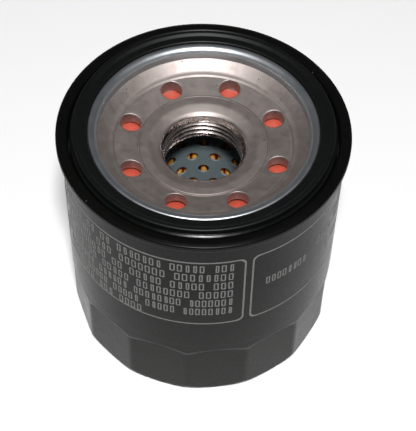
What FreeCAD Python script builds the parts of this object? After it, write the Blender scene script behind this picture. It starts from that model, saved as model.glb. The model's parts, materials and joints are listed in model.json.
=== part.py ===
import FreeCAD, Part
import math
import os

# Spin-on oil filter, standing on its closed, fluted end with the thread and the
# gasket up. Millimetres, +Z up, origin at the centre of the base.

V = FreeCAD.Vector

# ---- driving dimensions -------------------------------------------------------
# Can and rolled seam
CAN_R = 33.1                # outside radius of the cylindrical wall
CAN_T = 0.5                 # sheet thickness
BASE_ROUND = 3.6            # radius between the wall and the base
BASE_RECESS_R = 21.0        # radius of the recess pressed into the base
BASE_RECESS = 1.2           # depth of that recess
SEAM_R = 34.25              # outside radius of the rolled seam
SEAM_Z = 62.9               # height of the seam's reference circle
SEAM_CROWN = 1.0            # crown above SEAM_Z
SEAM_LEG_R = 31.35          # inside radius of the roll's inner leg
SEAM_LEG = 1.9              # depth of that leg below SEAM_Z
FLUTES = 14                 # flats for the cap wrench
FLUTE_APOTHEM = 32.2        # half the distance across flats
FLUTE_TOP = 18.0            # height at which the flats start to run out
FLUTE_RUNOUT = 4.0          # height of the run-out
FLUTE_TURN = -95.0          # direction of one corner between flats, degrees
SPLIT_Z = 26.0              # height above which the can is a plain tube

# Gasket and the zinc-plated lid that holds it
GASKET_IN = 27.0
GASKET_OUT = 31.2           # edge of the flange that holds the gasket in its groove
GASKET_TOP = 65.0
FLANGE_Z = SEAM_Z + 0.7
RIB_IN = 29.6               # raised sealing rib
RIB_OUT = 30.45
RIB_RISE = 0.5
LID_T = 0.6
LID_IN = 24.6               # inner edge of the lid
LID_BEAD_Z = SEAM_Z + 1.3   # top of the hollow bead inside the gasket
GROOVE_Z = SEAM_Z - 2.3     # floor of the gasket's groove

# Threaded plate
THREAD_R = 9.188            # minor radius of M20 x 1.5
PLATE_R = 30.8
PLATE_RIM_Z = SEAM_Z - 1.6  # upper edge of the plate's bowl
BOWL_R = 20.7               # foot of the bowl wall
BOWL_Z = SEAM_Z - 4.1
STEP_R = 15.5               # coined step round the thread's boss
STEP_Z = SEAM_Z - 4.9
NECK_OUT = 11.7
NECK_END = SEAM_Z - 12.8
INLETS = 8
INLET_R = 2.5
INLET_PCD_R = 18.35
INLET_TURN = 26.2           # direction of the first inlet hole, degrees
WELDS = 8
WELD_R = 1.5
WELD_PCD_R = 29.2

# Anti-drain valve
VALVE_BASE_Z = SEAM_Z - 13.7
VALVE_LIP_R = 22.3
COLLAR_OUT = 13.1
HINGE_Z = VALVE_BASE_Z + 3.6         # where the lip leaves the collar
UNDER_PLATE_Z = SEAM_Z - 7.2         # flat that the lip seals on

# Filter element
CAP_T = 0.4
CAP_OUT = 29.0
CAP_BORE = 13.4
UPPER_CAP_Z = VALVE_BASE_Z - CAP_T   # underside of the upper end cap
LOWER_CAP_Z = 11.6                   # top side of the lower end cap
GLUE_T = 1.0
TUBE_IN = 16.5
TUBE_T = 0.4
TUBE_HOLE_R = 1.4
TUBE_COLUMNS = 18
TUBE_ROW_Z = SEAM_Z - 34.0           # a row with a hole in the +Y direction
TUBE_ROWS_BELOW = 2
TUBE_ROWS_ABOVE = 3
PLEATS = 54
PLEAT_IN = 17.5
PLEAT_OUT = 28.2
PAPER_T = 0.5
FOLD_DEPTH = 0.7            # from the crest of a fold to the bottom of its crease
CLIP_HALF = 0.63            # half the inside width of the seam clip
CLIP_T = 0.22

# Bypass valve, in the lower end cap
PORT_R = 5.5                # passage through the valve seat
SEAT_OUT = 9.6
SEAT_T = 1.2
DISC_R = 7.2
DISC_T = 0.8
SEAL_T = 0.8
STEM_R = 1.2
SEAT_TOP = LOWER_CAP_Z + SEAT_T
DISC_Z = SEAT_TOP + 0.02 + SEAL_T    # underside of the disc, on its seal
CAGE_IN = SEAT_OUT + 0.05
CAGE_T = 0.5
CAGE_HEIGHT = 12.5
CAGE_TOP = LOWER_CAP_Z + CAGE_HEIGHT
CAGE_WINDOWS = 4
WIRE_R = 0.4
COIL_R = 4.6
COIL_TURNS = 5

# Support spring between the base and the element
CAP_BOTTOM = LOWER_CAP_Z - CAP_T
CUP_R = 12.0
CUP_T = 0.6
LEGS = 4
LEG_WIDTH = 7.0
LEG_T = 0.5
LEG_REACH = 24.0


# ---- helpers --------------------------------------------------------------------
def spot(radius, height):
    return V(radius, 0, height)


def corner_arc(before, corner, after, rounding):
    """Tangent arc of a corner: its start, its middle and its end."""
    back = (before - corner).normalize()
    ahead = (after - corner).normalize()
    half = back.getAngle(ahead) / 2
    bisector = (back + ahead).normalize()
    centre = corner + bisector * (rounding / math.sin(half))
    reach = rounding / math.tan(half)
    return corner + back * reach, centre - bisector * rounding, corner + ahead * reach


def face_of(corners):
    """Flat face from corners (radius, height[, rounding]) in the XZ plane."""
    points = [spot(c[0], c[1]) for c in corners]
    rounds = [c[2] if len(c) > 2 else 0 for c in corners]
    count = len(points)
    arcs = []
    for i, point in enumerate(points):
        if rounds[i]:
            arcs.append(corner_arc(points[i - 1], point, points[(i + 1) % count], rounds[i]))
        else:
            arcs.append((point, None, point))
    edges = []
    for i, (start, middle, end) in enumerate(arcs):
        if middle is not None:
            edges.append(Part.Arc(start, middle, end).toShape())
        following = arcs[(i + 1) % count][0]
        if end.distanceToPoint(following) > 1e-6:
            edges.append(Part.LineSegment(end, following).toShape())
    return Part.Face(Part.Wire(edges))


def lathe(corners):
    return face_of(corners).revolve(V(0, 0, 0), V(0, 0, 1), 360)


def parallel(path, gap):
    """The path's corners moved to its left by gap, with matching roundings."""
    points = [V(c[0], c[1], 0) for c in path]
    heads = [(b - a).normalize() for a, b in zip(points, points[1:])]
    sides = [V(-h.y, h.x, 0) for h in heads]
    moved = []
    for i, point in enumerate(points):
        first = sides[max(i - 1, 0)]
        second = sides[min(i, len(sides) - 1)]
        new = point + (first + second) * (gap / (1 + first.dot(second)))
        rounding = path[i][2] if len(path[i]) > 2 else 0
        if rounding:
            turn = heads[i - 1].cross(heads[i]).z
            rounding = rounding - math.copysign(gap, turn)
        moved.append((new.x, new.y, max(rounding, 0)))
    return moved


def sheet(path, thickness):
    """Turned sheet metal: one face follows the path, the other lies to its left."""
    return lathe(path + parallel(path, thickness)[::-1])


def around(shape, count, first=0.0):
    """Copies of a shape at even steps round +Z."""
    copies = []
    for i in range(count):
        copy = shape.copy()
        copy.rotate(V(0, 0, 0), V(0, 0, 1), first + 360.0 * i / count)
        copies.append(copy)
    return copies


def polar(radius, degrees, height=0.0):
    angle = math.radians(degrees)
    return V(radius * math.cos(angle), radius * math.sin(angle), height)


def polygon_wire(points):
    return Part.makePolygon(points + [points[0]])


# ---- can and rolled seam ----------------------------------------------------------
def fluted_envelope(apothem):
    """Prism with the wrench flats, opening out above them to clear the can."""
    step = 360.0 / FLUTES

    def ring(flat_distance, height):
        corner = flat_distance / math.cos(math.radians(step / 2))
        return polygon_wire([polar(corner, FLUTE_TURN + step * i, height) for i in range(FLUTES)])

    wide = apothem + (CAN_R - FLUTE_APOTHEM) + 0.4
    runout_end = FLUTE_TOP + FLUTE_RUNOUT
    flats = Part.makeLoft([ring(apothem, -1), ring(apothem, FLUTE_TOP)], True, True)
    runout = Part.makeLoft([ring(apothem, FLUTE_TOP), ring(wide, runout_end)], True, True)
    above = Part.makeLoft([ring(wide, runout_end), ring(wide, SPLIT_Z + 1)], True, True)
    return flats.fuse([runout, above])


def cup_solid(inset):
    """Solid of the can's lower end, drawn in by inset from the outside surface."""
    wall = CAN_R - inset
    low = inset
    return lathe([
        (0, low + BASE_RECESS),
        (BASE_RECESS_R, low + BASE_RECESS, 1.5),
        (BASE_RECESS_R + 1.8, low, 1.5),
        (wall, low, BASE_ROUND - inset),
        (wall, SPLIT_Z),
        (0, SPLIT_Z),
    ])


def can_shell():
    outside = cup_solid(0).common(fluted_envelope(FLUTE_APOTHEM))
    inside = cup_solid(CAN_T).common(fluted_envelope(FLUTE_APOTHEM - CAN_T))
    lower = outside.cut(inside)
    upper = sheet([
        (CAN_R, SPLIT_Z),
        (CAN_R, SEAM_Z - 1.6, 0.6),
        (SEAM_R, SEAM_Z - 0.8, 0.5),
        (SEAM_R, SEAM_Z + 0.65, 0.55),
        (SEAM_R - 1.05, SEAM_Z + SEAM_CROWN, 1.5),
        (SEAM_LEG_R, SEAM_Z + SEAM_CROWN, 0.9),
        (SEAM_LEG_R, SEAM_Z - SEAM_LEG),
    ], CAN_T)
    return lower.fuse(upper).removeSplitter()


def seam_sealant():
    """Film of sealing compound under the crown of the roll."""
    inner = SEAM_LEG_R + CAN_T + 0.1
    outer = SEAM_R - CAN_T - 0.1
    bottom = SEAM_Z - 0.07
    top = SEAM_Z + 0.23
    return lathe([(inner, bottom), (outer, bottom), (outer, top, 0.14), (inner, top, 0.14)])


# ---- lid, plate and gasket --------------------------------------------------------
def weld_nuggets():
    lowest = GROOVE_Z - LID_T - 0.5
    nugget = Part.makeCylinder(WELD_R, 0.8, polar(WELD_PCD_R, 0, lowest))
    return Part.makeCompound(around(nugget, WELDS, INLET_TURN + 22.5))


def seaming_lid():
    """Zinc-plated lid: gasket groove, inner bead, and a folded rim in the seam."""
    under = GROOVE_Z - LID_T
    riser = SEAM_LEG_R + CAN_T + 0.05
    rim_top = SEAM_Z - 0.1
    bead_out = GASKET_IN - 0.05
    body = lathe([
        (LID_IN, PLATE_RIM_Z),
        (LID_IN + LID_T, PLATE_RIM_Z),
        (LID_IN + LID_T, LID_BEAD_Z - LID_T, 0.75),
        (bead_out - LID_T, LID_BEAD_Z - LID_T, 0.3),
        (bead_out - LID_T, under, 0.3),
        (riser + LID_T, under, 0.4),
        (riser + LID_T, rim_top - 0.5),
        (riser + 1.6, rim_top - 0.5),
        (riser + 1.6, rim_top, 0.2),
        (riser, rim_top, 0.4),
        (riser, GROOVE_Z, 0.2),
        (bead_out, GROOVE_Z),
        (bead_out, LID_BEAD_Z, 0.5),
        (LID_IN, LID_BEAD_Z, 1.7),
    ])
    return body.cut(weld_nuggets())


def threaded_plate():
    """Pressed steel plate: bowl, inlet holes and the neck that takes the stud."""
    under_lid = GROOVE_Z - LID_T
    plate = lathe([
        (THREAD_R, NECK_END),
        (NECK_OUT, NECK_END, 0.4),
        (NECK_OUT, UNDER_PLATE_Z - 0.5, 1.2),
        (STEP_R, UNDER_PLATE_Z - 0.5, 2.0),
        (BOWL_R - 0.4, UNDER_PLATE_Z, 2.0),
        (VALVE_LIP_R + 0.7, UNDER_PLATE_Z, 1.5),
        (26.6, under_lid - 2.3, 2.0),
        (PLATE_R, under_lid - 2.3, 0.3),
        (PLATE_R, under_lid),
        (26.4, under_lid, 0.2),
        (26.1, PLATE_RIM_Z, 0.2),
        (24.6, PLATE_RIM_Z, 0.5),
        (22.1, BOWL_Z + 0.5, 1.8),
        (BOWL_R, BOWL_Z, 0.4),
        (STEP_R, STEP_Z),
        (STEP_R - 0.05, STEP_Z - 0.2),
        (STEP_R - 0.35, STEP_Z - 0.2),
        (STEP_R - 0.4, STEP_Z + 0.05),
        (12.9, STEP_Z + 0.05, 1.5),
        (10.2, STEP_Z - 1.0, 1.2),
        (THREAD_R, STEP_Z - 2.4),
    ])
    hole = Part.makeCylinder(INLET_R, 8, polar(INLET_PCD_R, 0, UNDER_PLATE_Z - 2))
    return plate.cut(around(hole, INLETS, INLET_TURN)).cut(weld_nuggets())


def sealing_gasket():
    """L-section ring: a tall body with a raised sealing rib, and a low outer flange."""
    return lathe([
        (GASKET_IN, GROOVE_Z + 0.02, 0.2),
        (GASKET_OUT, GROOVE_Z + 0.02, 0.2),
        (GASKET_OUT, FLANGE_Z - 0.35, 0.25),
        (RIB_OUT + 0.3, FLANGE_Z, 0.25),
        (RIB_OUT, FLANGE_Z),
        (RIB_OUT, GASKET_TOP, 0.35),
        (RIB_IN, GASKET_TOP, 0.6),
        (RIB_IN - 0.8, GASKET_TOP - RIB_RISE, 0.6),
        (GASKET_IN, GASKET_TOP - RIB_RISE, 0.4),
    ])


# ---- anti-drain valve -----------------------------------------------------------
def anti_drain_collar():
    """Moulded root of the valve: grips the neck and sits on the upper end cap."""
    return lathe([
        (NECK_OUT + 0.02, VALVE_BASE_Z + 0.02),
        (16.8, VALVE_BASE_Z + 0.02, 0.3),
        (16.8, VALVE_BASE_Z + 0.9, 0.3),
        (COLLAR_OUT, VALVE_BASE_Z + 1.1, 0.5),
        (COLLAR_OUT, HINGE_Z),
        (COLLAR_OUT - 0.6, UNDER_PLATE_Z - 0.9, 0.3),
        (NECK_OUT + 0.02, UNDER_PLATE_Z - 1.9),
    ])


def anti_drain_lip():
    """Conical flap: its edge seals on the underside of the plate."""
    edge_z = UNDER_PLATE_Z - 0.06
    return lathe([
        (COLLAR_OUT + 0.15, HINGE_Z),
        (20.9, edge_z - 1.25, 3.0),
        (VALVE_LIP_R, edge_z - 0.9, 0.3),
        (VALVE_LIP_R, edge_z, 0.3),
        (21.3, edge_z, 0.2),
        (20.7, edge_z - 0.55, 2.0),
        (COLLAR_OUT + 0.15, HINGE_Z + 0.9),
    ])


# ---- filter element ---------------------------------------------------------------
def upper_end_cap():
    top = UPPER_CAP_Z + CAP_T
    spigot = TUBE_IN - 0.05
    return lathe([
        (CAP_BORE, top),
        (CAP_OUT, top, 0.9),
        (CAP_OUT, top - 3.2),
        (CAP_OUT - CAP_T, top - 3.2),
        (CAP_OUT - CAP_T, UPPER_CAP_Z, 0.5),
        (spigot, UPPER_CAP_Z),
        (spigot, UPPER_CAP_Z - 2.6),
        (spigot - CAP_T, UPPER_CAP_Z - 2.6),
        (spigot - CAP_T, UPPER_CAP_Z),
        (CAP_BORE, UPPER_CAP_Z),
    ])


def lower_end_cap():
    bottom = LOWER_CAP_Z - CAP_T
    spigot = TUBE_IN - 0.05
    return lathe([
        (SEAT_OUT - 2.0, bottom),
        (CAP_OUT, bottom, 0.9),
        (CAP_OUT, bottom + 3.2),
        (CAP_OUT - CAP_T, bottom + 3.2),
        (CAP_OUT - CAP_T, LOWER_CAP_Z, 0.5),
        (spigot, LOWER_CAP_Z),
        (spigot, LOWER_CAP_Z + 2.6),
        (spigot - CAP_T, LOWER_CAP_Z + 2.6),
        (spigot - CAP_T, LOWER_CAP_Z),
        (SEAT_OUT - 2.0, LOWER_CAP_Z),
    ])


def glue_ring(base):
    """Plastisol that bonds the pleats and the centre tube to an end cap."""
    outer = CAP_OUT - CAP_T - 0.15
    return lathe([
        (TUBE_IN, base),
        (outer, base, 0.49),
        (outer, base + GLUE_T, 0.49),
        (TUBE_IN, base + GLUE_T),
    ])


def upper_adhesive():
    return glue_ring(UPPER_CAP_Z - GLUE_T)


def lower_adhesive():
    return glue_ring(LOWER_CAP_Z)


def element_span():
    """Lowest and highest level of the tube and pleats, between the two bonds."""
    return LOWER_CAP_Z + GLUE_T, UPPER_CAP_Z - GLUE_T


def centre_tube():
    """Perforated tube: staggered rows of holes, each row turned by half a step."""
    low, high = element_span()
    outer = TUBE_IN + TUBE_T
    tube = lathe([(TUBE_IN, low), (outer, low), (outer, high), (TUBE_IN, high)])
    step = 360.0 / TUBE_COLUMNS
    row_gap = math.radians(step) * TUBE_IN * math.sin(math.radians(60))
    holes = []
    for row in range(-TUBE_ROWS_BELOW, TUBE_ROWS_ABOVE + 1):
        height = TUBE_ROW_Z + row * row_gap
        turn = 90.0 + (row % 2) * step / 2
        punch = Part.makeCylinder(TUBE_HOLE_R, 3, V(TUBE_IN - 1, 0, height), V(1, 0, 0))
        holes += around(punch, TUBE_COLUMNS, turn)
    return tube.cut(holes)


def pleated_media():
    """Zigzag of filter paper in one closed ring."""
    low, high = element_span()
    half_step = 180.0 / PLEATS
    crest = math.degrees(PAPER_T / PLEAT_OUT)
    root = math.degrees(PAPER_T / PLEAT_IN)
    outer = []
    inner = []
    for i in range(PLEATS):
        fold = 2 * half_step * i
        valley = fold + half_step
        outer.append(polar(PLEAT_OUT, fold - crest, low))
        outer.append(polar(PLEAT_OUT, fold + crest, low))
        outer.append(polar(PLEAT_IN + FOLD_DEPTH, valley, low))
        inner.append(polar(PLEAT_OUT - FOLD_DEPTH, fold, low))
        inner.append(polar(PLEAT_IN, valley - root, low))
        inner.append(polar(PLEAT_IN, valley + root, low))
    height = V(0, 0, high - low)
    band = Part.Face(polygon_wire(outer)).extrude(height)
    return band.cut(Part.Face(polygon_wire(inner)).extrude(height))


def media_seam_clip():
    """Steel channel that joins the two ends of the paper over one outer fold."""
    low, high = element_span()
    depth = 1.8
    tip = PLEAT_OUT + 0.05
    length = high - low - 0.6
    slot = Part.makeBox(depth, 2 * CLIP_HALF, length, V(tip - depth, -CLIP_HALF, low + 0.3))
    half = CLIP_HALF + CLIP_T
    channel = Part.makeBox(depth + CLIP_T, 2 * half, length, V(tip - depth, -half, low + 0.3))
    return channel.cut(slot)


# ---- bypass valve -------------------------------------------------------------------
def bypass_seat():
    """Ring on the lower end cap, with a raised sealing edge round the port."""
    return lathe([
        (PORT_R, LOWER_CAP_Z),
        (SEAT_OUT, LOWER_CAP_Z),
        (SEAT_OUT, SEAT_TOP - 0.4, 0.2),
        (PORT_R + 1.0, SEAT_TOP - 0.4, 0.1),
        (PORT_R + 0.8, SEAT_TOP, 0.1),
        (PORT_R, SEAT_TOP, 0.2),
    ])


def bypass_seal():
    return lathe([
        (PORT_R - 0.8, DISC_Z - SEAL_T),
        (DISC_R - 0.2, DISC_Z - SEAL_T),
        (DISC_R - 0.2, DISC_Z),
        (PORT_R - 0.8, DISC_Z),
    ])


def bypass_disc():
    """Valve disc with the stem that slides in the cage."""
    return lathe([
        (0, DISC_Z),
        (DISC_R, DISC_Z),
        (DISC_R, DISC_Z + DISC_T, 0.3),
        (STEM_R, DISC_Z + DISC_T, 0.3),
        (STEM_R, CAGE_TOP + 0.5, 0.3),
        (0, CAGE_TOP + 0.5),
    ])


def bypass_cage():
    """Pressed cage over the disc, with side windows for the oil."""
    wall = CAGE_IN + CAGE_T
    cage = lathe([
        (CAGE_IN, LOWER_CAP_Z),
        (wall + 2.0, LOWER_CAP_Z),
        (wall + 2.0, LOWER_CAP_Z + CAGE_T),
        (wall, LOWER_CAP_Z + CAGE_T, 0.4),
        (wall, CAGE_TOP, 1.4),
        (STEM_R + 0.15, CAGE_TOP),
        (STEM_R + 0.15, CAGE_TOP - CAGE_T),
        (CAGE_IN, CAGE_TOP - CAGE_T, 0.9),
    ])
    window = Part.makeBox(6, 8, CAGE_HEIGHT - 5.5, V(CAGE_IN - 3, -4, LOWER_CAP_Z + 2.2))
    return cage.cut(around(window, CAGE_WINDOWS, 45))


def bypass_spring():
    """Round-wire compression spring between the disc and the top of the cage."""
    base = DISC_Z + DISC_T + WIRE_R + 0.05
    height = CAGE_TOP - CAGE_T - WIRE_R - 0.05 - base
    path = Part.makeLongHelix(height / COIL_TURNS, height, COIL_R)
    path.translate(V(0, 0, base))
    section = Part.Wire(Part.makeCircle(WIRE_R, V(COIL_R, 0, base), V(0, 1, 0)))
    return path.makePipeShell([section], True, True)


# ---- support spring -------------------------------------------------------------------
def spring_cup():
    """Pressed ring that spreads the support spring's load over the end cap."""
    return lathe([
        (SEAT_OUT - 2.0, CAP_BOTTOM - CUP_T),
        (CUP_R, CAP_BOTTOM - CUP_T, 0.2),
        (CUP_R, CAP_BOTTOM),
        (SEAT_OUT - 2.0, CAP_BOTTOM),
    ])


def support_spring():
    """Four-legged leaf spring that holds the element up against the valve."""
    top = CAP_BOTTOM - CUP_T
    hub = Part.makeCylinder(CUP_R - 0.5, LEG_T, V(0, 0, top - LEG_T))
    hub = hub.cut(Part.makeCylinder(SEAT_OUT - 2.0, 2, V(0, 0, top - 1)))
    floor = CAN_T + 0.05
    path = [
        (CUP_R - 3.5, top),
        (CUP_R + 1.5, top, 3.0),
        (LEG_REACH - 2.0, floor + LEG_T + 0.7, 3.0),
        (LEG_REACH, floor + LEG_T, 2.0),
        (LEG_REACH + 2.0, floor + LEG_T),
    ]
    side = face_of(path + parallel(path, -LEG_T)[::-1])
    side.translate(V(0, -LEG_WIDTH / 2, 0))
    leg = side.extrude(V(0, LEG_WIDTH, 0))
    return hub.fuse(around(leg, LEGS, 45)).removeSplitter()


# ---- export -----------------------------------------------------------------------------
PIECES = [
    can_shell,
    seam_sealant,
    seaming_lid,
    weld_nuggets,
    threaded_plate,
    sealing_gasket,
    anti_drain_collar,
    anti_drain_lip,
    upper_end_cap,
    lower_end_cap,
    upper_adhesive,
    lower_adhesive,
    centre_tube,
    pleated_media,
    media_seam_clip,
    bypass_seat,
    bypass_seal,
    bypass_disc,
    bypass_cage,
    bypass_spring,
    spring_cup,
    support_spring,
]


def main():
    os.makedirs("parts", exist_ok=True)
    for piece in PIECES:
        shape = piece()
        shape.exportStep("parts/%s.step" % piece.__name__)
        print(piece.__name__, shape.isValid(), len(shape.Solids), round(shape.Volume, 1))


main()
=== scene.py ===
import json
import math
import random

import bmesh
import bpy
from mathutils import Matrix, Vector


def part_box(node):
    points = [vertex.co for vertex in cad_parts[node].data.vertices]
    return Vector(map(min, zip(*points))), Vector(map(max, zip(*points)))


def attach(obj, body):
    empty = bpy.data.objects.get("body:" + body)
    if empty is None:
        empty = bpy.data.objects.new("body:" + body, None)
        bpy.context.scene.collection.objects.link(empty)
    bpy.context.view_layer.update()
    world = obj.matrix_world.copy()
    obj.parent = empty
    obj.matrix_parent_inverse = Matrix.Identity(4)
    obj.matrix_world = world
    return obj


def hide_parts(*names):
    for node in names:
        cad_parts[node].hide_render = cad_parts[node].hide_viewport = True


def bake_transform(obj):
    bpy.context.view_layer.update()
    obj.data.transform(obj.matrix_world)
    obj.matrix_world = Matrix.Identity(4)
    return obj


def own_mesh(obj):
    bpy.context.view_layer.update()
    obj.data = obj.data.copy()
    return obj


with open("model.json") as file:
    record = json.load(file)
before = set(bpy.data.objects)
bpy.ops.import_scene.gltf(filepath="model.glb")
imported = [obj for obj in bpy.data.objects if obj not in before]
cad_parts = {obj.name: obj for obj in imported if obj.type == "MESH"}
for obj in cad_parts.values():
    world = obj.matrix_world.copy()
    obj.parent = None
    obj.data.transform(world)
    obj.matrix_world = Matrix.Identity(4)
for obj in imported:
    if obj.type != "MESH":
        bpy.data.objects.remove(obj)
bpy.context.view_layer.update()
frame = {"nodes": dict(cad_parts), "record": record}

# The looks of a spin-on oil filter. Lengths are millimetres unless a name says
# otherwise, and become metres where a mesh is made. +Z is the filter's axis.
MM = 0.001


def low(node):
    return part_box(node)[0] / MM


def high(node):
    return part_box(node)[1] / MM


def mount(name):
    return next(m for m in frame["record"]["mounts"] if m["name"] == name)


# ---- sizes: read from the frame where it gives them, the rest as the pieces need ----
CAN_R = mount("can_body")["dims"]["r_mm"]
SEAM_R = high("can_shell").x
CROWN_Z = high("can_shell").z
SEAM_Z = CROWN_Z - 1.0
CAN_T = 0.5
SEAM_LEG_R = 31.35
SEAM_LEG = 1.9
BASE_ROUND = 3.6
BASE_RECESS = 1.2
BASE_RECESS_R = 21.0
FLUTES = 14
FLUTE_APOTHEM = 32.2
FLUTE_TOP = 18.0
FLUTE_RUNOUT = 4.0
FLUTE_TURN = -95.0
FLUTE_EDGE = 0.24           # softness of the corners between flats
RUNOUT_DEPTH = 1.6          # depth of flat at which its top would be a whole run-out higher
RUNOUT_BAND = 1.7           # height of the step at the top of a flat, in its middle
RUNOUT_EDGE = 0.06          # softness of the line where the step meets the wall

GASKET_OUT = high("sealing_gasket").x
GASKET_TOP = high("sealing_gasket").z
GROOVE_Z = low("sealing_gasket").z
GASKET_IN = GASKET_OUT - 4.2
FLANGE_Z = SEAM_Z + 0.7
FLANGE_FALL = 0.31          # how far the flange slopes down to its edge
RIB_OUT = 30.45
RIB_IN = 29.6
RIB_RISE = 0.5

LID_T = 0.6
LID_IN = 24.6
LID_BEAD_Z = SEAM_Z + 1.3
LID_RIM_Z = SEAM_Z - 0.1
LID_RIM_WIDE = 1.6
LID_RIM_T = 0.5
LID_GAP = 0.05              # between the lid and what it touches
LID_UNDER = GROOVE_Z - 0.02 - LID_T

THREAD_R = mount("stud_thread")["dims"]["r_mm"]
THREAD_PITCH = 1.5
THREAD_DEPTH = 0.78
THREAD_FLAT = 0.14          # share of the pitch that is flat at a crest, and at a root
PLATE_R = high("threaded_plate").x
PLATE_RIM_Z = SEAM_Z - 1.6
PLATE_FOOT_Z = LID_UNDER - 2.3
PLATE_RISER_R = 26.4        # foot of the outer wall that rises to the plate's rim
BOWL_R = 20.7
BOWL_Z = SEAM_Z - 4.1
STEP_R = 15.5
STEP_Z = SEAM_Z - 4.9
STEP_GROOVE = 0.3           # depth of the coined circle
MOUTH_R = 10.6              # where the neck's flare turns down into the thread
MOUTH_Z = STEP_Z - 2.4
NECK_END = low("threaded_plate").z
NECK_OUT = 11.7
BORE_START = 0.6            # height above the neck's end where the thread's fine mesh starts
UNDER_PLATE_Z = SEAM_Z - 7.2
UNDER_FALL = 0.5            # how far the plate's underside falls from bowl to neck
INLETS = 8
INLET_R = 2.5
INLET_BEVEL = 0.22
INLET_PCD_R = 18.35
INLET_TURN = 26.2

VALVE_BASE_Z = low("anti_drain_collar").z
VALVE_LIP_R = high("anti_drain_lip").x
VALVE_LIP_Z = high("anti_drain_lip").z
VALVE_FOOT_R = 16.8
VALVE_WAIST_R = 13.4
HINGE_Z = low("anti_drain_lip").z

TUBE_T = 0.4
TUBE_IN = high("centre_tube").x - TUBE_T
TUBE_LOW = low("centre_tube").z
TUBE_HIGH = high("centre_tube").z
TUBE_HOLE_R = 1.4
TUBE_HOLE_BEVEL = 0.1
TUBE_COLUMNS = 18
TUBE_ROW_Z = SEAM_Z - 34.0
TUBE_ROWS = range(-2, 4)

PLEATS = 54
PLEAT_OUT = high("pleated_media").x
PLEAT_IN = 17.5
PAPER_T = 0.5
FOLD_R = 0.42               # middle of the paper, round a fold

WIRE_R = 0.4                # wire of the bypass spring
SPRING_TURNS = 6.5

TURN_STEPS = 336            # steps round a turned piece: 24 to a flat
PLATE_STEPS = 320           # steps round the plate: 40 to an inlet hole
PLAIN_STEP = 12.0           # longest stretch of mesh on a plain wall
FLUTE_STEP = 0.5            # on the flats
FLUTE_STEP_INSIDE = 1.5     # on the inside of the flats
RUNOUT_STEP = 0.22          # where the flats run out
MERGE_CLOSE = 2e-6          # metres: points of one piece this close are the same point
TINY_AREA = 1e-14           # square metres: a face this small has no shape


# ---- outlines -------------------------------------------------------------------
def corner_points(before, corner, after, rounding, steps):
    """Points of the tangent arc that rounds a corner."""
    back = (before - corner).normalized()
    ahead = (after - corner).normalized()
    half = back.angle(ahead) / 2
    bisector = (back + ahead).normalized()
    centre = corner + bisector * (rounding / math.sin(half))
    reach = rounding / math.tan(half)
    start = corner + back * reach - centre
    end = corner + ahead * reach - centre
    points = []
    for i in range(steps + 1):
        points.append(centre + start.slerp(end, i / steps).normalized() * rounding)
    return points


def outline(corners, closed=True, steps=6):
    """(radius, height) points of an outline whose corners may carry a rounding."""
    places = [Vector((c[0], c[1])) for c in corners]
    count = len(places)
    points = []
    for i, place in enumerate(places):
        inner = closed or 0 < i < count - 1
        if inner and len(corners[i]) > 2 and corners[i][2] > 0:
            points += corner_points(places[i - 1], place, places[(i + 1) % count], corners[i][2], steps)
        else:
            points.append(place)
    return points


def parallel(path, gap):
    """The path's corners moved to its left by gap, with matching roundings."""
    points = [Vector((c[0], c[1])) for c in path]
    heads = [(b - a).normalized() for a, b in zip(points, points[1:])]
    sides = [Vector((-h.y, h.x)) for h in heads]
    moved = []
    for i, point in enumerate(points):
        first = sides[max(i - 1, 0)]
        second = sides[min(i, len(sides) - 1)]
        new = point + (first + second) * (gap / (1 + first.dot(second)))
        rounding = path[i][2] if len(path[i]) > 2 else 0
        if rounding:
            turn = heads[i - 1].cross(heads[i])
            rounding = max(rounding - math.copysign(gap, turn), 0)
        moved.append((new.x, new.y, rounding))
    return moved


def divided(points, longest, where=lambda p: True):
    """The outline with its long spans divided, where both ends are in the zone."""
    result = []
    for a, b in zip(points, points[1:]):
        result.append(a)
        if where(a) and where(b):
            parts = max(1, math.ceil((b - a).length / longest))
            result += [a.lerp(b, i / parts) for i in range(1, parts)]
    result.append(points[-1])
    return result


# ---- meshes ------------------------------------------------------------------------
def finish_mesh(name, bm, sharp_degrees=38.0, merge=1e-7):
    bmesh.ops.remove_doubles(bm, verts=bm.verts, dist=merge)
    flat = [f for f in bm.faces if f.calc_area() < TINY_AREA]
    bmesh.ops.delete(bm, geom=flat, context="FACES")
    loose = [v for v in bm.verts if not v.link_faces]
    bmesh.ops.delete(bm, geom=loose, context="VERTS")
    bmesh.ops.recalc_face_normals(bm, faces=bm.faces)
    for face in bm.faces:
        face.smooth = True
    limit = math.radians(sharp_degrees)
    for edge in bm.edges:
        edge.smooth = len(edge.link_faces) == 2 and edge.calc_face_angle(0.0) < limit
    mesh = bpy.data.meshes.new(name)
    bm.to_mesh(mesh)
    bm.free()
    piece = bpy.data.objects.new(name, mesh)
    bpy.context.scene.collection.objects.link(piece)
    return piece


def around_axis(radius, angle, height):
    """The place, in metres, at a radius and angle round +Z and a height."""
    return (radius * math.cos(angle) * MM, radius * math.sin(angle) * MM, height * MM)


def turn(bm, points, steps, closed=True, shape=None):
    """Adds the surface that the outline sweeps round +Z. shape(point, angle), where it is
    given, is the radius there."""
    rows = []
    for point in points:
        row = []
        for k in range(steps):
            angle = 2 * math.pi * k / steps
            radius = point.x if shape is None else shape(point, angle)
            row.append(bm.verts.new(around_axis(radius, angle, point.y)))
        rows.append(row)
    spans = zip(rows, rows[1:] + rows[:1]) if closed else zip(rows, rows[1:])
    for one, two in spans:
        for k in range(steps):
            after = (k + 1) % steps
            bm.faces.new((one[k], one[after], two[after], two[k]))


def turned_piece(name, corners, steps=TURN_STEPS, arc_steps=6):
    bm = bmesh.new()
    turn(bm, outline(corners, steps=arc_steps), steps)
    return finish_mesh(name, bm)


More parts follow.
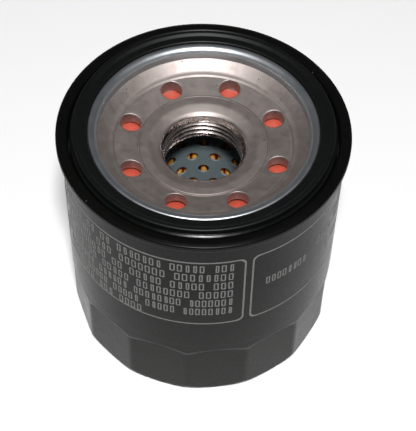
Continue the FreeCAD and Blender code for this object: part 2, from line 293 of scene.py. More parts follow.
def bridge(bm, rings):
    """Joins closed rings of vertices, each to the next."""
    count = len(rings[0])
    for one, two in zip(rings, rings[1:]):
        for k in range(count):
            after = (k + 1) % count
            bm.faces.new((one[k], one[after], two[after], two[k]))


def hole_cell(bm, border, centre, radius, bevel, surface):
    """A patch with a round hole through it. border is the patch's closed outline and
    surface(point, side, depth) gives a vertex on side 0 or 1 at a depth into the wall."""
    spokes = [(p - centre).normalized() for p in border]
    spread = (0.0, 0.35, 0.65, 0.88)
    arc = [math.radians(a) for a in (0, 25, 50, 75, 90)]

    def face_rings(side):
        rings = []
        for share in spread:
            rings.append([surface(p.lerp(centre + s * (radius + bevel), share), side, 0.0)
                          for p, s in zip(border, spokes)])
        for angle in arc:
            reach = radius + bevel * (1 - math.sin(angle))
            depth = bevel * (1 - math.cos(angle))
            rings.append([surface(centre + s * reach, side, depth) for s in spokes])
        return rings

    rings = face_rings(0) + face_rings(1)[::-1]
    bridge(bm, [[bm.verts.new(v) for v in ring] for ring in rings])


def border_of(low_corner, high_corner, across, up):
    """Closed outline of a rectangle, with across and up steps along its sides."""
    (x0, y0), (x1, y1) = low_corner, high_corner
    points = [Vector((x0 + (x1 - x0) * i / across, y0)) for i in range(across)]
    points += [Vector((x1, y0 + (y1 - y0) * i / up)) for i in range(up)]
    points += [Vector((x1 - (x1 - x0) * i / across, y1)) for i in range(across)]
    points += [Vector((x0, y1 - (y1 - y0) * i / up)) for i in range(up)]
    return points


def polar(radius, angle):
    return Vector((radius * math.cos(angle), radius * math.sin(angle)))


def settle(piece, body, slot, material, *nodes):
    """Puts a finished piece on its body, with its finish and the CAD nodes it stands for."""
    piece.data.materials.append(material)
    if body:
        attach(piece, body)
    if nodes:
        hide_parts(*nodes)
    return piece


# ---- the can ------------------------------------------------------------------------
def fade(value, start, end):
    """0 before the start and 1 after the end, with an even S-curve between."""
    share = min(max((value - start) / (end - start), 0.0), 1.0)
    return share * share * (3 - 2 * share)


def soft_min(a, b, softness):
    """The smaller of two lengths, with the crossing rounded off."""
    gap = max(softness - abs(a - b), 0.0) / softness
    return min(a, b) - gap * gap * softness / 4


def flat_distance(angle_degrees, apothem):
    step = 360.0 / FLUTES
    offset = abs((angle_degrees - FLUTE_TURN) % step - step / 2)
    own = apothem / math.cos(math.radians(offset))
    neighbour = apothem / math.cos(math.radians(step - offset))
    return soft_min(own, neighbour, FLUTE_EDGE)


def fluted(inset):
    """How the wrench flats draw in a radius on a surface inset from the outside."""
    deepest = CAN_R - FLUTE_APOTHEM

    def radius_at(point, angle):
        z = point.y
        if z > FLUTE_TOP + FLUTE_RUNOUT or point.x < FLUTE_APOTHEM - 4:
            return point.x
        flat = flat_distance(math.degrees(angle), FLUTE_APOTHEM - inset)
        depth = max(CAN_R - inset - flat, 0.05)
        top = FLUTE_TOP + depth * FLUTE_RUNOUT / RUNOUT_DEPTH
        band = RUNOUT_BAND * math.sqrt(depth / deepest)
        return soft_min(point.x, flat + depth * fade(z, top - band, top), RUNOUT_EDGE)
    return radius_at


def can_path():
    return [
        (0.0, BASE_RECESS),
        (BASE_RECESS_R, BASE_RECESS, 1.5),
        (BASE_RECESS_R + 1.8, 0.0, 1.5),
        (CAN_R, 0.0, BASE_ROUND),
        (CAN_R, SEAM_Z - 1.6, 0.6),
        (SEAM_R, SEAM_Z - 0.8, 0.5),
        (SEAM_R, SEAM_Z + 0.65, 0.55),
        (SEAM_R - 1.05, CROWN_Z, 1.5),
        (SEAM_LEG_R, CROWN_Z, 0.9),
        (SEAM_LEG_R, SEAM_Z - SEAM_LEG),
    ]


def make_can():
    """Drawn can: fluted closed end, plain wall, and the edge rolled into the seam."""
    path = can_path()

    def in_flats(point):
        return point.x > BASE_RECESS_R + 4 and point.y < FLUTE_TOP + FLUTE_RUNOUT + 6

    def in_runout(point):
        return point.x > CAN_R - 0.1 and FLUTE_TOP - 2 < point.y < FLUTE_TOP + FLUTE_RUNOUT

    outside = divided(outline(path, closed=False, steps=10), PLAIN_STEP)
    outside = divided(outside, FLUTE_STEP, in_flats)
    outside = divided(outside, RUNOUT_STEP, in_runout)
    inside = divided(outline(parallel(path, CAN_T), closed=False, steps=6), PLAIN_STEP)
    inside = divided(inside, FLUTE_STEP_INSIDE, in_flats)
    bm = bmesh.new()
    turn(bm, outside, TURN_STEPS, closed=False, shape=fluted(0.0))
    turn(bm, inside, TURN_STEPS, closed=False, shape=fluted(CAN_T))
    turn(bm, [outside[-1], inside[-1]], TURN_STEPS, closed=False)
    return finish_mesh("can_skin", bm, sharp_degrees=50.0, merge=MERGE_CLOSE)


# ---- printed panels on the can ----------------------------------------------------------
INK_T = 0.03
INK_SUNK = 0.01             # how far the ink reaches into the paint
PANELS = 3
PANEL_GAP = 2.5             # degrees between panels
PANEL_END = 18.2            # direction of the front panel's right edge, from the front
PANEL_TOP = SEAM_Z - 6.2
PANEL_LOW = SEAM_Z - 31.0
PANEL_ROUND = 1.6
PANEL_LINE = 0.42
GLYPH_HIGH = 2.6
GLYPH_LINE = 0.3
GLYPH_ROUND = 0.22
GLYPH_PITCHES = (1.5, 1.66, 1.74)
GLYPH_WIDTHS = (0.5, 0.64, 0.68, 0.72)      # shares of the pitch
WORDS = (2, 3, 4, 5, 6, 7, 8)               # boxes in a word
ROW_GAP = 3.4
FIRST_ROW = 2.6             # from the panel's top line to the middle of its first row
MARGIN_LEFT = 1.2
MARGIN_RIGHT = 2.9


def on_can(around, height, lift):
    """Vertex on the can's wall: around is millimetres to the right of the front."""
    return around_axis(CAN_R + lift, around / CAN_R - math.pi / 2, height)


def rounded_box(x0, z0, x1, z1, rounding, longest=0.9):
    """Closed outline of a box with round corners, divided to follow the wall."""
    corners = [(x0, z0, rounding), (x1, z0, rounding), (x1, z1, rounding), (x0, z1, rounding)]
    points = outline(corners, steps=4)
    return divided(points + points[:1], longest)[:-1]


def ink_ring(bm, outer, inner):
    """Raised band of ink between two outlines that have the same number of points."""
    loops = [(outer, -INK_SUNK), (outer, INK_T), (inner, INK_T), (inner, -INK_SUNK), (outer, -INK_SUNK)]
    rings = [[bm.verts.new(on_can(p.x, p.y, lift)) for p in loop] for loop, lift in loops]
    bridge(bm, rings)


def ink_box(bm, x0, z0, x1, z1, rounding, line):
    outer = rounded_box(x0, z0, x1, z1, rounding)
    centre = Vector(((x0 + x1) / 2, (z0 + z1) / 2))
    inner = []
    for p in outer:
        offset = p - centre
        reach = Vector(((x1 - x0) / 2, (z1 - z0) / 2))
        inner.append(centre + Vector((offset.x * (1 - line / reach.x), offset.y * (1 - line / reach.y))))
    ink_ring(bm, outer, inner)


def arc_mm(degrees):
    return math.radians(degrees) * CAN_R


def panel_edges(index):
    """Left and right edge of a printed panel, in millimetres round from the front."""
    step = 360.0 / PANELS
    right = PANEL_END + step * index
    return arc_mm(right - step + PANEL_GAP), arc_mm(right)


def make_panels():
    bm = bmesh.new()
    for index in range(PANELS):
        left, right = panel_edges(index)
        ink_box(bm, left, PANEL_LOW, right, PANEL_TOP, PANEL_ROUND, PANEL_LINE)
    return finish_mesh("printed_panels", bm)


def word_lengths(rng, columns):
    """Lengths of made-up words that fill a row of so many columns."""
    words = []
    while columns > 1:
        length = min(rng.choice(WORDS), columns)
        words.append(length)
        columns -= length + 1
    return words


def print_row(bm, rng, start, end, height):
    """One row of blank boxes, grouped as words, from the right edge leftwards."""
    pitch = rng.choice(GLYPH_PITCHES)
    half = GLYPH_HIGH / 2
    x = end
    for length in word_lengths(rng, int((end - start) / pitch)):
        for _ in range(length):
            width = pitch * rng.choice(GLYPH_WIDTHS)
            ink_box(bm, x - width, height - half, x, height + half, GLYPH_ROUND, GLYPH_LINE)
            x -= pitch
        x -= pitch


# Rows of print on each panel: (row, first and last share of the panel's width).
PRINTED_ROWS = [
    [(0, 0.18, 1.0), (1, 0.16, 1.0), (2, 0.14, 1.0), (3, 0.2, 1.0), (4, 0.12, 1.0), (5, 0.15, 1.0),
     (6, 0.22, 0.66)],
    [(0, 0.42, 0.9), (1, 0.36, 0.98), (2, 0.25, 0.9), (2.6, 0.02, 0.22), (4, 0.3, 0.74)],
    [(0, 0.1, 1.0), (1, 0.2, 1.0), (2, 0.16, 1.0), (3, 0.3, 1.0), (5, 0.4, 1.0), (6, 0.2, 1.0)],
]


def make_print():
    """Rows of empty boxes where the can has its instructions."""
    rng = random.Random(7)
    bm = bmesh.new()
    for index, rows in enumerate(PRINTED_ROWS):
        left, right = panel_edges(index)
        left += MARGIN_LEFT
        right -= MARGIN_RIGHT
        for row, first, last in rows:
            height = PANEL_TOP - FIRST_ROW - ROW_GAP * row
            width = right - left
            print_row(bm, rng, left + width * first, left + width * last, height)
    return finish_mesh("printed_rows", bm)


# ---- gasket, lid and plate ---------------------------------------------------------------
def make_gasket():
    return turned_piece("gasket_ring", [
        (GASKET_IN, GROOVE_Z, 0.2),
        (GASKET_OUT, GROOVE_Z, 0.2),
        (GASKET_OUT, FLANGE_Z - FLANGE_FALL, 0.2),
        (RIB_OUT + 0.3, FLANGE_Z, 0.25),
        (RIB_OUT, FLANGE_Z, 0.1),
        (RIB_OUT, GASKET_TOP, 0.35),
        (RIB_IN, GASKET_TOP, 0.6),
        (RIB_IN - 0.8, GASKET_TOP - RIB_RISE, 0.6),
        (GASKET_IN, GASKET_TOP - RIB_RISE, 0.4),
    ], arc_steps=9)


def make_lid():
    """Zinc-plated lid: a hollow bead inside the gasket, the groove, and the folded rim."""
    riser = SEAM_LEG_R + CAN_T + LID_GAP
    floor = LID_UNDER + LID_T
    bead_out = GASKET_IN - LID_GAP
    return turned_piece("lid_ring", [
        (LID_IN, PLATE_RIM_Z, 0.1),
        (LID_IN + LID_T, PLATE_RIM_Z, 0.1),
        (LID_IN + LID_T, LID_BEAD_Z - LID_T, 0.75),
        (bead_out - LID_T, LID_BEAD_Z - LID_T, 0.3),
        (bead_out - LID_T, LID_UNDER, 0.3),
        (riser + LID_T, LID_UNDER, 0.4),
        (riser + LID_T, LID_RIM_Z - LID_RIM_T),
        (riser + LID_RIM_WIDE, LID_RIM_Z - LID_RIM_T),
        (riser + LID_RIM_WIDE, LID_RIM_Z, 0.2),
        (riser, LID_RIM_Z, 0.4),
        (riser, floor, 0.2),
        (bead_out, floor),
        (bead_out, LID_BEAD_Z, 0.5),
        (LID_IN, LID_BEAD_Z, 1.7),
    ], arc_steps=14)


def plate_top(radius):
    """Height of the plate's upper surface between the step and the bowl's foot."""
    return BOWL_Z + (STEP_Z - BOWL_Z) * (BOWL_R - radius) / (BOWL_R - STEP_R)


def plate_under(radius):
    return UNDER_PLATE_Z - UNDER_FALL * (BOWL_R - radius) / (BOWL_R - STEP_R)


def thread_groove(height, angle):
    """Depth of the right-handed thread at a place in the bore, as a share of full depth."""
    phase = (height / THREAD_PITCH - angle / (2 * math.pi)) % 1.0
    return fade(1 - abs(2 * phase - 1), THREAD_FLAT, 1 - THREAD_FLAT)


def make_plate():
    """Pressed plate with its inlet holes, and the neck with its thread cut as a helix."""
    outer = outline([
        (BOWL_R, plate_under(BOWL_R)),
        (VALVE_LIP_R + 0.7, UNDER_PLATE_Z, 1.5),
        (26.6, PLATE_FOOT_Z, 2.0),
        (PLATE_R, PLATE_FOOT_Z, 0.3),
        (PLATE_R, LID_UNDER),
        (PLATE_RISER_R, LID_UNDER, 0.2),
        (26.1, PLATE_RIM_Z, 0.2),
        (24.6, PLATE_RIM_Z, 0.5),
        (22.1, BOWL_Z + 0.55, 2.2),
        (21.1, BOWL_Z + 0.3, 0.5),
        (BOWL_R + 0.1, BOWL_Z, 0.15),
        (BOWL_R, BOWL_Z),
    ], closed=False, steps=9)
    below = outline([
        (STEP_R, plate_under(STEP_R)),
        (NECK_OUT, UNDER_PLATE_Z - UNDER_FALL, 1.2),
        (NECK_OUT, NECK_END, 0.4),
        (THREAD_R, NECK_END, 0.25),
        (THREAD_R, NECK_END + BORE_START),
    ], closed=False, steps=8)
    bore_steps = 90
    bore_high = MOUTH_Z - NECK_END - BORE_START
    bore = [Vector((THREAD_R, NECK_END + BORE_START + bore_high * i / bore_steps))
            for i in range(1, bore_steps)]
    mouth = outline([
        (THREAD_R, MOUTH_Z - 0.05),
        (THREAD_R + 0.1, MOUTH_Z, 0.1),
        (MOUTH_R - 0.7, STEP_Z - 1.25, 0.5),
        (MOUTH_R, STEP_Z - 0.62, 1.6),
        (MOUTH_R + 2.3, STEP_Z + 0.05, 3.2),
        (STEP_R - 0.5, STEP_Z + 0.05, 0.12),
        (STEP_R - 0.36, STEP_Z - STEP_GROOVE, 0.05),
        (STEP_R - 0.08, STEP_Z - STEP_GROOVE, 0.05),
        (STEP_R, STEP_Z),
    ], closed=False, steps=7)
    inner = below + bore + mouth

    def threaded(point, angle):
        if point.x > THREAD_R + 1.2 or point.y > MOUTH_Z + 1.3:
            return point.x
        started = fade(point.y, NECK_END + 0.1, NECK_END + 1.1)
        ended = fade(point.y, MOUTH_Z - 0.2, MOUTH_Z + 0.9)
        groove = THREAD_R + THREAD_DEPTH * started * (1 - ended) * thread_groove(point.y, angle)
        return max(point.x, groove)

    bm = bmesh.new()
    turn(bm, outer, PLATE_STEPS, closed=False)
    turn(bm, inner, PLATE_STEPS, closed=False, shape=threaded)
    per_hole = PLATE_STEPS // INLETS
    radial = 10
    sector = 2 * math.pi / INLETS

    def surface(point, side, depth):
        radius = point.length
        height = plate_top(radius) - depth if side == 0 else plate_under(radius) + depth
        return (point.x * MM, point.y * MM, height * MM)

    for hole in range(INLETS):
        middle = sector * hole
        patch = border_of((STEP_R, -sector / 2), (BOWL_R, sector / 2), radial, per_hole)
        border = [polar(p.x, middle + p.y) for p in patch]
        hole_cell(bm, border, polar(INLET_PCD_R, middle), INLET_R, INLET_BEVEL, surface)
    piece = finish_mesh("thread_plate", bm, sharp_degrees=48.0, merge=MERGE_CLOSE)
    piece.data.transform(Matrix.Rotation(math.radians(INLET_TURN), 4, "Z"))
    return piece


# ---- anti-drain valve ---------------------------------------------------------------------
def make_valve():
    """Silicone moulding: collar on the neck and a thin conical lip under the plate."""
    base = VALVE_BASE_Z
    return turned_piece("drain_valve", [
        (NECK_OUT + 0.02, base),
        (VALVE_FOOT_R, base, 0.3),
        (VALVE_FOOT_R, base + 0.9, 0.3),
        (VALVE_WAIST_R, base + 1.15, 0.8),
        (VALVE_WAIST_R, HINGE_Z - 0.1, 1.6),
        (20.9, VALVE_LIP_Z - 1.25, 3.0),
        (VALVE_LIP_R, VALVE_LIP_Z - 0.9, 0.35),
        (VALVE_LIP_R, VALVE_LIP_Z, 0.35),
        (21.3, VALVE_LIP_Z, 0.25),
        (20.7, VALVE_LIP_Z - 0.55, 2.0),
        (14.2, HINGE_Z + 0.95, 1.0),
        (13.0, HINGE_Z + 0.75, 0.3),
        (NECK_OUT + 0.02, HINGE_Z + 0.7, 0.1),
    ], arc_steps=8)


# ---- bypass spring --------------------------------------------------------------------------
def make_spring():
    """Compression spring of round wire, with a closed coil at each end."""
    foot = low("bypass_spring").z + WIRE_R
    top = high("bypass_spring").z - WIRE_R
    per_turn = 30
    around_wire = 12
    closed = 2.1 * WIRE_R       # rise of the closed coil at each end
    pitch = (top - foot - 2 * closed) / (SPRING_TURNS - 2)
    coil_r = high("bypass_spring").x - WIRE_R
    bm = bmesh.new()
    rings = []
    for i in range(int(SPRING_TURNS * per_turn) + 1):
        turn_number = i / per_turn
        end_turns = min(turn_number, 1.0) + max(turn_number - SPRING_TURNS + 1, 0.0)
        centre_z = foot + closed * end_turns + pitch * (turn_number - end_turns)
        angle = 2 * math.pi * turn_number
        ring = []
        for k in range(around_wire):
            side = 2 * math.pi * k / around_wire
            radius = coil_r + WIRE_R * math.cos(side)
            ring.append(bm.verts.new(around_axis(radius, angle, centre_z + WIRE_R * math.sin(side))))
        rings.append(ring)
    bridge(bm, rings)
    bm.faces.new(rings[0])
    bm.faces.new(rings[-1])
    return finish_mesh("valve_spring", bm)


# ---- centre tube and paper -------------------------------------------------------------------
def make_tube():
    """Perforated tube: each row of cells is turned by half a cell from the last."""
    cell = 2 * math.pi / TUBE_COLUMNS
    row_gap = cell * TUBE_IN * math.sin(math.radians(60))
    across, up = 10, 10
    outside = TUBE_IN + TUBE_T
    bm = bmesh.new()

    def on_wall(point, side, depth):
        radius = TUBE_IN + depth if side == 0 else outside - depth
        return around_axis(radius, point.x / TUBE_IN, point.y)

    half = cell * TUBE_IN / 2
    for row in TUBE_ROWS:
        height = TUBE_ROW_Z + row * row_gap
        for column in range(TUBE_COLUMNS):
            middle = (math.pi / 2 + cell * (column + (row % 2) / 2)) * TUBE_IN
            low_corner = (middle - half, height - row_gap / 2)
            high_corner = (middle + half, height + row_gap / 2)
            border = border_of(low_corner, high_corner, across, up)
            hole_cell(bm, border, Vector((middle, height)), TUBE_HOLE_R, TUBE_HOLE_BEVEL, on_wall)
    steps = TUBE_COLUMNS * across
    turn_offset = math.pi / 2 - cell / 2
    lowest = TUBE_ROW_Z + (TUBE_ROWS[0] - 0.5) * row_gap
    highest = TUBE_ROW_Z + (TUBE_ROWS[-1] + 0.5) * row_gap
    for inner_z, end_z in ((lowest, TUBE_LOW), (highest, TUBE_HIGH)):
        rings = []
        for radius, height in ((TUBE_IN, inner_z), (TUBE_IN, end_z), (outside, end_z), (outside, inner_z)):
            rings.append([bm.verts.new(around_axis(radius, turn_offset + 2 * math.pi * k / steps, height))
                          for k in range(steps)])
        bridge(bm, rings)
    return finish_mesh("core_tube", bm, sharp_degrees=50.0, merge=MERGE_CLOSE)


def make_paper():
    """Pleated paper with round folds, closed into a ring; each pleat a little uneven."""
    rng = random.Random(11)
    low_z, high_z = low("pleated_media").z, high("pleated_media").z
    half_step = math.pi / PLEATS
    centre_line = []
    legs = 7
    for fold in range(PLEATS):
        out_r = PLEAT_OUT - PAPER_T / 2 - rng.uniform(0.0, 0.5)
        in_r = PLEAT_IN + PAPER_T / 2 + rng.uniform(0.0, 0.3)
        lean = rng.uniform(-0.12, 0.12) * half_step
        start = 2 * half_step * fold + lean
        crest = FOLD_R / PLEAT_OUT
        root = FOLD_R / PLEAT_IN
        for i in range(3):
            a = math.pi * (i / 2 - 0.5)
            centre_line.append((out_r - FOLD_R + FOLD_R * math.cos(a), start + crest * math.sin(a)))
        for i in range(1, legs):
            share = i / legs
            centre_line.append((out_r + (in_r - out_r) * share,
                                start + crest + (half_step - crest - root) * share))
        for i in range(3):
            a = math.pi * (i / 2 - 0.5)
            centre_line.append((in_r + FOLD_R - FOLD_R * math.cos(a), start + half_step + root * math.sin(a)))
        for i in range(1, legs):
            share = 1 - i / legs
            centre_line.append((out_r + (in_r - out_r) * share,
                                start + 2 * half_step - crest - (half_step - crest - root) * share))
    line = [polar(r, a) for r, a in centre_line]
    count = len(line)
    sides = []
    for i in range(count):
        along = (line[(i + 1) % count] - line[i - 1]).normalized()
        sides.append(Vector((-along.y, along.x)))
    bm = bmesh.new()
    levels = 6
    rings = []
    for half, order in ((PAPER_T / 2, range(levels + 1)), (-PAPER_T / 2, range(levels, -1, -1))):
        for level in order:
            z = low_z + (high_z - low_z) * level / levels
            rings.append([bm.verts.new(((p.x + s.x * half) * MM, (p.y + s.y * half) * MM, z * MM))
                          for p, s in zip(line, sides)])
    bridge(bm, rings + rings[:1])
    return finish_mesh("filter_paper", bm, sharp_degrees=60.0)


# ---- materials ------------------------------------------------------------------------------
class Finish:
    """A procedural material, built up from a Principled shader."""

    def __init__(self, name, colour, roughness=0.5, metallic=0.0, **sockets):
        self.material = bpy.data.materials.new(name)
        self.material.use_nodes = True
        self.tree = self.material.node_tree
        self.shader = self.tree.nodes["Principled BSDF"]
        self.shader.inputs["Base Color"].default_value = (*colour, 1)
        self.shader.inputs["Roughness"].default_value = roughness
        self.shader.inputs["Metallic"].default_value = metallic
        for socket, value in sockets.items():
            self.shader.inputs[socket.replace("_", " ")].default_value = value
        self.place = self.tree.nodes.new("ShaderNodeTexCoord").outputs["Object"]
        self.normal = None

    def node(self, kind, inputs=(), **settings):
        node = self.tree.nodes.new(kind)
        for name, value in settings.items():
            setattr(node, name, value)
        for socket, value in inputs:
            if isinstance(value, bpy.types.NodeSocket):
                self.tree.links.new(value, node.inputs[socket])
            else:
                node.inputs[socket].default_value = value
        return node

    def noise(self, per_metre, detail=4.0, rough=0.55):
        node = self.node("ShaderNodeTexNoise", [("Vector", self.place), ("Scale", per_metre),
                                                ("Detail", detail), ("Roughness", rough)])
        return node.outputs["Fac"]

    def specks(self, per_metre, rarity, size):
        """1 on a few small round specks, 0 elsewhere."""
        cells = self.node("ShaderNodeTexVoronoi", [("Vector", self.place), ("Scale", per_metre)])
        near = self.ramp(cells.outputs["Distance"], size * 0.6, size, 1.0, 0.0)
        pick = self.node("ShaderNodeSeparateColor", [("Color", cells.outputs["Color"])]).outputs[0]
        chosen = self.ramp(pick, rarity, rarity + 0.01, 0.0, 1.0)
        return self.node("ShaderNodeMath", [(0, near), (1, chosen)], operation="MULTIPLY").outputs[0]

    def ramp(self, value, start, end, first, last):
        node = self.node("ShaderNodeMapRange", [("Value", value), ("From Min", start), ("From Max", end),
                                                ("To Min", first), ("To Max", last)])
        return node.outputs["Result"]

    def sum(self, one, other):
        return self.node("ShaderNodeMath", [(0, one), (1, other)], operation="ADD").outputs[0]

    def from_axis(self):
        """Distance from the filter's axis."""
        across = self.node("ShaderNodeMapping", [("Vector", self.place), ("Scale", (1, 1, 0))]).outputs[0]
        return self.node("ShaderNodeVectorMath", [(0, across)], operation="LENGTH").outputs["Value"]

    def tint(self, share, colour):
        """Mixes a colour into the base colour where share is 1."""
        base = self.shader.inputs["Base Color"]
        mix = self.node("ShaderNodeMix", [(0, share)], data_type="RGBA")
        if base.is_linked:
            self.tree.links.new(base.links[0].from_socket, mix.inputs[6])
        else:
            mix.inputs[6].default_value = base.default_value[:]
        mix.inputs[7].default_value = (*colour, 1)
        self.tree.links.new(mix.outputs[2], base)

    def roughness(self, value):
        self.tree.links.new(value, self.shader.inputs["Roughness"])

    def bump(self, height, depth_mm, strength=1.0):
        node = self.node("ShaderNodeBump", [("Height", height), ("Strength", strength),
                                            ("Distance", depth_mm * MM)])
        if self.normal:
            self.tree.links.new(self.normal, node.inputs["Normal"])
        self.normal = node.outputs["Normal"]
        self.tree.links.new(self.normal, self.shader.inputs["Normal"])


def can_paint():
    """Baked charcoal paint: satin, duller where it is rolled in, and lightened toward the base as a painted
    floor reflection.
    """
    f = Finish("can_paint", (0.0024, 0.0022, 0.0021), Specular_IOR_Level=0.1)
    f.tint(f.ramp(f.noise(120, 3), 0.35, 0.7, 0.0, 0.5), (0.0034, 0.0031, 0.0029))
    f.tint(f.specks(900, 0.985, 0.16), (0.1, 0.1, 0.09))
    height = f.node("ShaderNodeSeparateXYZ", [("Vector", f.place)]).outputs["Z"]
    # Painted reflection: the paint is lightened toward the base to stand in for the bright floor reflected in
    # the lower wall.
    f.tint(f.ramp(height, 0.045, 0.0, 0.0, 1.0), (0.014, 0.0134, 0.0126))
    worn = f.ramp(height, (SEAM_Z - 2) * MM, (SEAM_Z - 1) * MM, 0.0, 0.07)
    mottle = f.ramp(f.noise(300, 5), 0.3, 0.7, 0.24, 0.3)
    f.roughness(f.sum(worn, mottle))
    f.bump(f.noise(5200, 2, 0.5), 0.0012)
    return f.material


def print_ink():
    f = Finish("print_ink", (0.12, 0.12, 0.115), 0.5)
    f.tint(f.ramp(f.noise(2600, 4), 0.42, 0.62, 0.0, 0.35), (0.07, 0.07, 0.068))
    f.bump(f.noise(7000, 2), 0.003)
    return f.material


def gasket_rubber():
    """Moulded black rubber: glossy flange, duller rib, faint flow marks, stray dust."""
    f = Finish("gasket_rubber", (0.002, 0.0024, 0.0023), Specular_IOR_Level=0.24)
    f.tint(f.ramp(f.noise(260, 5), 0.45, 0.75, 0.0, 0.6), (0.0032, 0.0036, 0.0035))
    f.tint(f.specks(620, 0.985, 0.1), (0.1, 0.1, 0.095))
    f.tint(f.specks(1500, 0.985, 0.16), (0.035, 0.035, 0.034))
    height = f.node("ShaderNodeSeparateXYZ", [("Vector", f.place)]).outputs["Z"]
    rubbed = f.ramp(height, (FLANGE_Z + 0.05) * MM, (FLANGE_Z + 0.5) * MM, 0.0, 0.2)
    f.roughness(f.sum(rubbed, f.ramp(f.noise(700, 4), 0.3, 0.7, 0.2, 0.28)))
    f.bump(f.noise(1800, 3), 0.004)
    f.bump(f.specks(620, 0.985, 0.1), 0.03)
    return f.material


def zinc_plate():
    """Bright zinc plating, bluish and nearly even."""
    f = Finish("zinc_plate", (0.48, 0.51, 0.54), metallic=1.0)
    f.tint(f.ramp(f.noise(160, 3), 0.4, 0.75, 0.0, 0.3), (0.42, 0.44, 0.46))
    f.roughness(f.ramp(f.noise(300, 3, 0.5), 0.3, 0.7, 0.36, 0.42))
    f.bump(f.noise(1200, 2), 0.0006)
    return f.material


def pressed_steel():
    """Oiled pressed steel: warm grey, mottled, with scuffs, pits and tool marks."""
    f = Finish("pressed_steel", (0.4, 0.35, 0.33), metallic=1.0)
    f.tint(f.ramp(f.noise(150, 6, 0.6), 0.45, 0.72, 0.0, 0.6), (0.33, 0.29, 0.27))
    f.tint(f.ramp(f.noise(900, 6, 0.7), 0.58, 0.72, 0.0, 0.5), (0.23, 0.2, 0.19))
    f.tint(f.specks(700, 0.93, 0.16), (0.1, 0.085, 0.08))
    mottle = f.ramp(f.noise(420, 6, 0.65), 0.3, 0.7, 0.5, 0.62)
    f.roughness(f.sum(mottle, f.ramp(f.from_axis(), 9.9 * MM, 10.4 * MM, -0.3, 0.0)))
    f.bump(f.noise(1300, 5, 0.6), 0.012)
    f.bump(f.noise(260, 3), 0.02)
    f.bump(f.specks(700, 0.93, 0.16), -0.03)
    return f.material


def silicone():
    f = Finish("silicone", (0.46, 0.075, 0.045), Subsurface_Weight=0.25, Subsurface_Scale=0.001)
    f.tint(f.ramp(f.noise(300, 4), 0.4, 0.7, 0.0, 0.4), (0.38, 0.055, 0.032))
    f.roughness(f.ramp(f.noise(900, 4), 0.3, 0.7, 0.36, 0.5))
    f.bump(f.noise(2600, 3), 0.004)
    return f.material


def core_zinc():
    """Zinc-coated sheet gone dull blue-grey."""
    f = Finish("core_zinc", (0.17, 0.21, 0.225), metallic=0.2)
    f.tint(f.ramp(f.noise(500, 5), 0.4, 0.7, 0.0, 0.5), (0.14, 0.175, 0.19))
    f.roughness(f.ramp(f.noise(1200, 5), 0.3, 0.7, 0.42, 0.6))
    f.bump(f.noise(3000, 4), 0.004)
    return f.material


def filter_paper():
    """Resin-soaked paper: amber, fibrous, slightly translucent."""
    f = Finish("filter_paper", (0.95, 0.5, 0.1), 0.75, Subsurface_Weight=0.2,
               Subsurface_Scale=0.0006)
    f.tint(f.ramp(f.noise(2200, 6, 0.7), 0.4, 0.7, 0.0, 0.6), (0.8, 0.36, 0.06))
    f.bump(f.noise(4200, 6, 0.75), 0.03)
    return f.material


def plain_metal(name, colour, roughness):
    """Small inner metal parts: spring wire, weld metal, stampings."""
    f = Finish(name, colour, metallic=1.0)
    f.tint(f.ramp(f.noise(900, 5), 0.4, 0.7, 0.0, 0.5), tuple(c * 0.7 for c in colour))
    f.roughness(f.ramp(f.noise(1500, 4), 0.3, 0.7, roughness - 0.08, roughness + 0.1))
    f.bump(f.noise(3500, 3), 0.004)
    return f.material


def plain_rubber(name, colour, roughness):
    """Small inner soft parts: plastisol, sealant and the bypass seal."""
    f = Finish(name, colour)
    f.tint(f.ramp(f.noise(700, 5), 0.4, 0.7, 0.0, 0.5), tuple(c * 0.6 for c in colour))
    f.roughness(f.ramp(f.noise(1200, 4), 0.3, 0.7, roughness - 0.08, roughness + 0.1))
    f.bump(f.noise(2500, 3), 0.01)
    return f.material


# ---- floor, light and camera -----------------------------------------------------------------
# The floor and the lights are in metres.
FLOOR_HALF = 1.6
KEY_WATTS = 9.0
KEY_SIZE = (0.10, 0.08)
KEY_AWAY = 0.8
KEY_RISE = 61.0             # degrees above level
KEY_RIGHT = 0.02
SIDE_WATTS = 0.12
SIDE_SIZE = (0.6, 0.6)
SIDE_AWAY = 0.8
SIDE_HIGH = 0.5
HORIZON_LIGHT = 0.4
FRONT_LIGHT = 0.03
BACK_LIGHT = 0.09

# The camera is placed in millimetres and degrees, from the middle of the seam.
CAMERA_AWAY = 320.0
CAMERA_RISE = 49.2          # how high it stands, as seen from the seam
CAMERA_PITCH = 52.71        # how far it looks down
CAMERA_ROLL = -1.44
CAMERA_RIGHT = 1.46
CAMERA_LENS = 115.4
FILM_WIDTH = 36.0


def make_floor():
    bm = bmesh.new()
    bmesh.ops.create_grid(bm, x_segments=8, y_segments=8, size=FLOOR_HALF)
    floor = finish_mesh("floor", bm)
    f = Finish("floor_paint", (0.92, 0.92, 0.92), 0.6)
    f.bump(f.noise(40, 2), 0.02)
    floor.data.materials.append(f.material)


def area_light(name, place, aim, size, power):
    data = bpy.data.lights.new(name, "AREA")
    data.shape = "RECTANGLE"
    data.size, data.size_y = size
    data.energy = power
    lamp = bpy.data.objects.new(name, data)
    lamp.location = place
    lamp.rotation_euler = (Vector(aim) - Vector(place)).to_track_quat("-Z", "Y").to_euler()
    bpy.context.scene.collection.objects.link(lamp)


def make_lights():
    target = (0, 0, SEAM_Z * MM)
    rise = math.radians(KEY_RISE)
    key_place = (KEY_RIGHT, -KEY_AWAY * math.cos(rise), target[2] + KEY_AWAY * math.sin(rise))
    area_light("key", key_place, target, KEY_SIZE, KEY_WATTS)
    for name, side in (("left_sheet", -1), ("right_sheet", 1)):
        area_light(name, (side * SIDE_AWAY, 0.0, SIDE_HIGH), target, SIDE_SIZE, SIDE_WATTS)
    make_room()


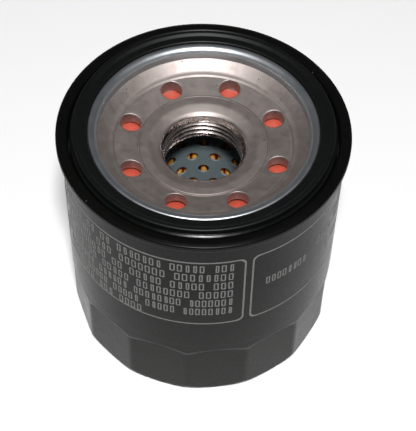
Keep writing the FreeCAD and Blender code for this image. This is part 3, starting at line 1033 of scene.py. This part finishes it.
def make_room():
    """Room light: bright low down all round, and brighter at the back than in front."""
    world = bpy.data.worlds.new("room")
    world.use_nodes = True
    tree = world.node_tree
    split = tree.nodes.new("ShaderNodeSeparateXYZ")
    tree.links.new(tree.nodes.new("ShaderNodeTexCoord").outputs["Generated"], split.inputs[0])
    total = tree.nodes.new("ShaderNodeMath")
    total.operation = "ADD"
    ramps = (("Z", 0.0, 0.25, HORIZON_LIGHT, 0.0), ("Y", -0.1, 0.6, FRONT_LIGHT, BACK_LIGHT))
    for i, (axis, start, end, first, last) in enumerate(ramps):
        ramp = tree.nodes.new("ShaderNodeMapRange")
        for socket, value in zip(("From Min", "From Max", "To Min", "To Max"), (start, end, first, last)):
            ramp.inputs[socket].default_value = value
        tree.links.new(split.outputs[axis], ramp.inputs["Value"])
        tree.links.new(ramp.outputs["Result"], total.inputs[i])
    background = tree.nodes["Background"]
    background.inputs["Color"].default_value = (1, 1, 1, 1)
    tree.links.new(total.outputs[0], background.inputs["Strength"])
    bpy.context.scene.world = world


def make_camera():
    """Camera above the front of the filter, looking steeply down at the seam."""
    rise = math.radians(CAMERA_RISE)
    pitch = math.radians(CAMERA_PITCH)
    roll = math.radians(CAMERA_ROLL)
    data = bpy.data.cameras.new("camera")
    data.sensor_width = FILM_WIDTH
    data.lens = CAMERA_LENS
    data.clip_start = 0.01
    camera = bpy.data.objects.new("camera", data)
    place = Vector((CAMERA_RIGHT, -CAMERA_AWAY * math.cos(rise), SEAM_Z + CAMERA_AWAY * math.sin(rise)))
    ahead = Vector((0, math.cos(pitch), -math.sin(pitch)))
    level_up = Vector((0, math.sin(pitch), math.cos(pitch)))
    level_right = Vector((1, 0, 0))
    right = level_right * math.cos(roll) - level_up * math.sin(roll)
    up = level_right * math.sin(roll) + level_up * math.cos(roll)
    turn_matrix = Matrix((right, up, -ahead)).transposed().to_4x4()
    camera.matrix_world = Matrix.Translation(place * MM) @ turn_matrix
    bpy.context.scene.collection.objects.link(camera)
    bpy.context.scene.camera = camera


# ---- putting it together -----------------------------------------------------------------------
def dress_cad_nodes(spring):
    """The inner CAD pieces keep their shape and get their own finishes."""
    stamped = plain_metal("stamped_steel", (0.4, 0.37, 0.35), 0.4)
    zinc = core_zinc()
    finishes = {
        "seam_sealant": plain_rubber("sealant", (0.3, 0.3, 0.28), 0.6),
        "weld_nuggets": plain_metal("weld_steel", (0.38, 0.37, 0.36), 0.5),
        "upper_end_cap": zinc,
        "lower_end_cap": zinc,
        "upper_adhesive": plain_rubber("plastisol", (0.1, 0.1, 0.09), 0.5),
        "lower_adhesive": plain_rubber("plastisol_low", (0.1, 0.1, 0.09), 0.5),
        "media_seam_clip": spring,
        "bypass_seat": stamped,
        "bypass_seal": plain_rubber("valve_rubber", (0.015, 0.015, 0.015), 0.5),
        "bypass_disc": stamped,
        "bypass_cage": zinc,
        "spring_cup": stamped,
        "support_spring": spring,
    }
    for name, material in finishes.items():
        node = frame["nodes"][name]
        node.data.materials.clear()
        node.data.materials.append(material)


def main():
    paint = can_paint()
    ink = print_ink()
    settle(make_can(), "filter", "can_paint", paint, "can_shell")
    settle(make_panels(), "filter", "can_paint", ink)
    settle(make_print(), "filter", "can_paint", ink)
    settle(make_gasket(), "filter", "gasket_rubber", gasket_rubber(), "sealing_gasket")
    settle(make_lid(), "filter", "zinc_plate", zinc_plate(), "seaming_lid")
    settle(make_plate(), "filter", "pressed_steel", pressed_steel(), "threaded_plate")
    valve = settle(make_valve(), None, "silicone", silicone(), "anti_drain_collar", "anti_drain_lip")
    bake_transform(valve)
    settle(make_tube(), "filter", "core_zinc", core_zinc(), "centre_tube")
    settle(make_paper(), "filter", "filter_paper", filter_paper(), "pleated_media")
    steel = plain_metal("spring_steel", (0.42, 0.41, 0.4), 0.32)
    spring = settle(make_spring(), "filter", "spring_steel", steel, "bypass_spring")
    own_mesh(spring)
    dress_cad_nodes(steel)
    make_floor()
    make_lights()
    make_camera()
    bpy.context.scene.view_settings.view_transform = "Standard"


main()
